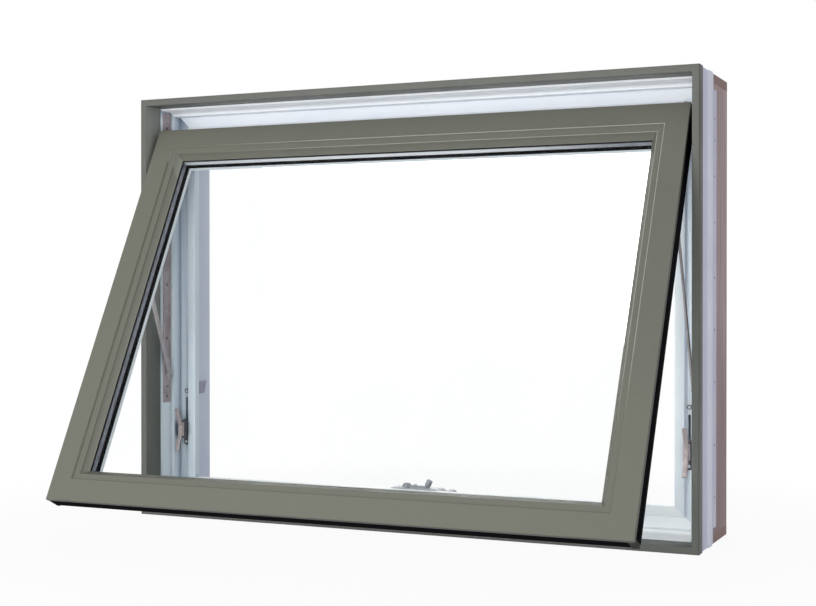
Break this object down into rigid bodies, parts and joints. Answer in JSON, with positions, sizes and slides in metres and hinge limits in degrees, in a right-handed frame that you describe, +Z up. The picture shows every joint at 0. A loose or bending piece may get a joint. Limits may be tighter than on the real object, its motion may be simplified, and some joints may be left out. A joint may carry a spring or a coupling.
{
  "type": "top hung awning window",
  "caption": "Awning window with an olive clad frame and sash held open on side hinges with stay arms, white vinyl inside, double glazing, sash locks, crank operator and wood jamb extension.",
  "frame": {"origin": "middle of the sill's underside, on the raised bearing rib round the frame's outside", "axes": "+X to the right seen from outdoors, +Y indoors, +Z up"},
  "size_m": [1.22, 0.606, 0.9],
  "materials": {
    "olive_cladding": "satin",
    "white_vinyl": "satin",
    "board": "matte",
    "black_rubber": "matte",
    "clear_glass": "polished",
    "spacer_metal": "satin",
    "hinge_steel": "satin",
    "clip_plastic": "satin",
    "handle_silver": "satin"
  },
  "bodies": {
    "root": {"cladding_head": "olive_cladding", "cladding_sill": "olive_cladding", "cladding_left": "olive_cladding", "cladding_right": "olive_cladding", "frame_head": "white_vinyl", "frame_sill": "white_vinyl", "frame_left_jamb": "white_vinyl", "frame_right_jamb": "white_vinyl", "extension_head": "board", "extension_sill": "board", "extension_left": "board", "extension_right": "board", "fixing_strips": "white_vinyl", "sash_cladding_top": "olive_cladding", "sash_cladding_bottom": "olive_cladding", "sash_cladding_left": "olive_cladding", "sash_cladding_right": "olive_cladding", "sash_top_rail": "white_vinyl", "sash_bottom_rail": "white_vinyl", "sash_left_stile": "white_vinyl", "sash_right_stile": "white_vinyl", "glazing_beads": "white_vinyl", "sash_seal": "black_rubber", "outer_gasket": "black_rubber", "inner_gasket": "black_rubber", "outer_pane": "clear_glass", "inner_pane": "clear_glass", "spacer": "spacer_metal", "hinge_track_left": "hinge_steel", "hinge_track_right": "hinge_steel", "hinge_shoe_left": "hinge_steel", "hinge_shoe_right": "hinge_steel", "sash_hinge_bar_left": "hinge_steel", "sash_hinge_bar_right": "hinge_steel", "stay_arm_left": "hinge_steel", "stay_arm_right": "hinge_steel", "lock_left": "hinge_steel", "lock_right": "hinge_steel", "operator_arm_left": "hinge_steel", "operator_arm_right": "hinge_steel", "sash_keepers": "hinge_steel", "operator_case": "hinge_steel", "sash_operator_track": "hinge_steel", "screen_clips": "clip_plastic", "operator_cover": "handle_silver", "crank_handle": "handle_silver"}
  },
  "joints": []
}
